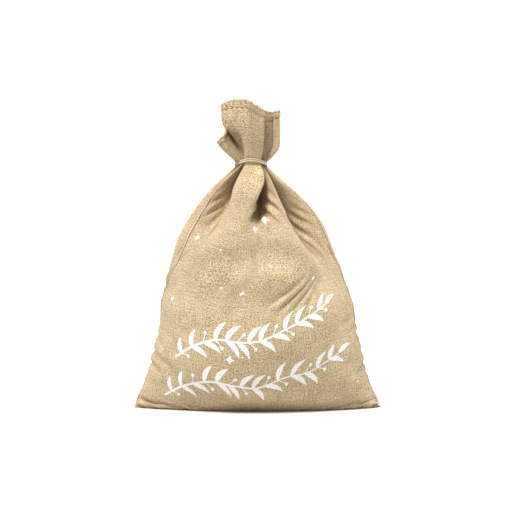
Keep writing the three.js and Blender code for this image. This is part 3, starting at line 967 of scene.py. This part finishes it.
# The ink's dark end: its own greyer grain, and painted shade in the weave's hollows.
ink_grey_and_shade = (0.74, 0.70, 0.63, 1)
ink_white = (0.98, 0.97, 0.95, 1)
stem_width = np.array([0.0034, 0.0030, 0.0025, 0.0018])
leaf_length = 0.030
leaf_width = 0.0075
berry_size = 0.0052
hollow_power, hollow_width = 0.68, 1.15
ink = Finish("white_ink", {"Roughness": 0.75})
ink_height, ink_colour = weave(ink, ink_grey_and_shade, ink_white, fleck=False)
ink.paint(ink_colour)
ink.bump(ink_height, 0.35, 0.0003)

# Both stems and the sparkles, as (x, z) on the front in mm, and a sparkle's reach.
upper_stem = [
    (-120, 84), (-92, 101), (-60, 112), (-28, 108), (4, 110), (38, 127), (70, 142), (100, 163),
]
lower_stem = [
    (-138, 24), (-106, 40), (-70, 50), (-34, 42), (2, 40), (42, 55), (82, 66), (120, 88),
]
sparkles = [
    (12, 286, 9.0), (-3, 272, 6.6), (-88, 259, 5.6), (82, 200, 5.4), (-22, 180, 5.0), (-124, 170, 5.2),
    (-40, 82, 6.4), (-46, 305, 2.2), (-52, 242, 2.0), (-93, 197, 2.4), (20, 219, 1.8), (-22, 86, 2.4),
    (-52, 188, 1.8), (86, 84, 2.0), (150, 44, 2.6), (118, 20, 2.2),
]


def spot(x, z):
    """The place (u, v) on the front cloth whose point stands nearest to x and z (in mm), seen
    from the front: where folds overlap, the foremost one."""
    front = cloth[:, :half + 1]
    far = np.hypot(front[..., 0] - x * mm, front[..., 2] - z * mm) + 0.05 * front[..., 1]
    row, column = np.unravel_index(np.argmin(far), far.shape)
    return column * step, row * step


def stroke(line, widths, across=5):
    """A brush stroke on the flat cloth: its line widened to both sides by half of its width."""
    way = unit(np.gradient(line, axis=0))
    side = np.stack([-way[:, 1], way[:, 0]], axis=1)
    wide = np.interp(np.linspace(0, 1, len(line)), np.linspace(0, 1, len(widths)), widths)
    return line[:, None] + side[:, None] * (wide[:, None] * np.linspace(-0.5, 0.5, across)[None])[..., None]


def leaf(root, lean, length, width):
    """One leaf: a stroke that bends by a sine, widest two fifths of the way along."""
    t = np.linspace(0, 1, 14)
    way = np.array([math.cos(lean), math.sin(lean)])
    side = np.array([-way[1], way[0]])
    line = root + way * (t * length)[:, None] + side * (0.12 * length * np.sin(np.pi * t))[:, None]
    return stroke(line, width * np.sin(np.pi * t**0.75) ** 0.8 + 0.00015, 7)


def star(middle, reach, hollow):
    """Rings round a middle. The outline is the curve |x|^p + |y|^p = reach^p: p below 1 gives
    four hollow points, and 2 gives a round. A hollow star is a little wider than it is tall."""
    angle = np.arange(40) * 2 * np.pi / 40
    x, y = np.cos(angle), np.sin(angle)
    power, width = (hollow_power, hollow_width) if hollow else (2.0, 1.0)
    radius = reach * (np.abs(x) ** power + np.abs(y) ** power) ** (-1 / power)
    shape = np.stack([x * radius * width, y * radius], axis=1)
    return np.asarray(middle) + shape[None] * np.linspace(0.03, 1, 5)[:, None, None]


def sprig(stem, pairs):
    """A stem with pairs of leaves, longest halfway up, that lean about 54 degrees off it and
    less towards the tip. At every third place a berry on a stalk stands instead of a leaf."""
    stem = np.array([spot(x, z) for x, z in stem])
    shapes = [(stroke(smooth_line(stem, np.linspace(0, 1, 90)), stem_width), False)]
    for k, share in enumerate(np.linspace(0.05, 0.95, pairs)):
        root, ahead = smooth_line(stem, np.array([share, min(share + 0.01, 1.0)]))
        lean = math.atan2(ahead[1] - root[1], ahead[0] - root[0])
        size = leaf_length * (0.72 + 0.28 * math.sin(math.pi * share) + 0.08 * math.sin(7.0 * k))
        for side in (1, -1):
            turned = lean + side * math.radians(54 - 12 * share + 5 * math.sin(3.0 * k + side))
            if (k + (side > 0)) % 3:
                shapes.append((leaf(root, turned, size, leaf_width), False))
            else:
                end = root + 0.5 * size * np.array([math.cos(turned), math.sin(turned)])
                stalk = smooth_line([root, (root + end) / 2 + 0.0006, end], np.linspace(0, 1, 10))
                shapes.append((stroke(stalk, [0.0014, 0.0012]), False))
                shapes.append((star(end, berry_size / 2, False), True))
    tip = smooth_line(stem, np.array([0.985, 1.0]))
    lean = math.atan2(tip[1, 1] - tip[0, 1], tip[1, 0] - tip[0, 0])
    shapes.append((leaf(tip[1], lean, leaf_length * 0.8, leaf_width), False))
    return shapes


def printed(name, shapes):
    """Carries flat shapes onto the cloth as one thin film. A shape whose faces run clockwise is
    turned over, and a star's innermost ring is filled."""
    corners, faces, uv, start = [], [], [], 0
    for shape, closed in shapes:
        n_rows, n_cols = shape.shape[:2]
        flat = shape.reshape(-1, 2)
        one = np.array(grid_faces(n_rows, n_cols, closed))
        edges = np.diff(flat[one[:, :3]], axis=1)
        if np.sum(edges[:, 0, 0] * edges[:, 1, 1] - edges[:, 0, 1] * edges[:, 1, 0]) < 0:
            one = one[:, ::-1]
        faces += (start + one).tolist()
        if closed:
            faces.append([start + corner for corner in range(n_cols)][::-1])
        corners.append(on_cloth(flat[:, 0], flat[:, 1], ink_lift)[0])
        uv.append(flat)
        start += len(flat)
    piece = piece_of(name, np.concatenate(corners), faces, np.concatenate(uv), ink)
    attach(piece, "sack")
    return piece


prints = [
    printed("upper_sprig_print", sprig(upper_stem, 13)),
    printed("lower_sprig_print", sprig(lower_stem, 14)),
    printed("sparkle_print", [(star(spot(x, z), reach * mm, True), True) for x, z, reach in sparkles]),
]

# ------------------------------------------------------------
# Floor and light: a plain pale floor in a white surround, a soft light from high on the left of
# the front, a weaker one from low on the right, and a faint one behind.
floor_reach = 12.0
floor_pale = Finish("floor_pale", {
    "Base Color": (0.74, 0.74, 0.74, 1), "Roughness": 0.95, "Specular IOR Level": 0.1,
    "Emission Color": (1, 1, 1, 1), "Emission Strength": 0.05,
})
floor_corners = [(x * floor_reach, y * floor_reach, 0.0) for y in (-1, 1) for x in (-1, 1)]
floor = piece_of("floor", floor_corners, grid_faces(2, 2), None, floor_pale)

world = bpy.data.worlds.new("surround")
world.use_nodes = True
world_nodes, world_links = world.node_tree.nodes, world.node_tree.links
lighting, seen = world_nodes["Background"], world_nodes.new("ShaderNodeBackground")
for background, strength in ((lighting, 0.10), (seen, 1.1)):
    background.inputs["Color"].default_value = (1, 1, 1, 1)
    background.inputs["Strength"].default_value = strength
either = world_nodes.new("ShaderNodeMixShader")
world_links.new(world_nodes.new("ShaderNodeLightPath").outputs["Is Camera Ray"], either.inputs[0])
world_links.new(lighting.outputs[0], either.inputs[1])
world_links.new(seen.outputs[0], either.inputs[2])
world_links.new(either.outputs[0], world_nodes["World Output"].inputs["Surface"])
bpy.context.scene.world = world


def sun(name, azimuth, rise, strength, softness):
    """A soft sun that shines from an azimuth (0 is the front, 90 the right) and a height."""
    light = bpy.data.objects.new(name, bpy.data.lights.new(name, "SUN"))
    light.data.energy = strength
    light.data.angle = math.radians(softness)
    light.rotation_euler = (math.radians(90 - rise), 0, math.radians(azimuth))
    bpy.context.collection.objects.link(light)


sun("left_light", -36, 60, 3.35, 22)
sun("right_light", 98, 30, 1.8, 30)
sun("back_light", -150, 55, 0.8, 50)
view = bpy.context.scene.view_settings
view.view_transform = "Standard"
view.exposure = 0.20
view.gamma = 0.80
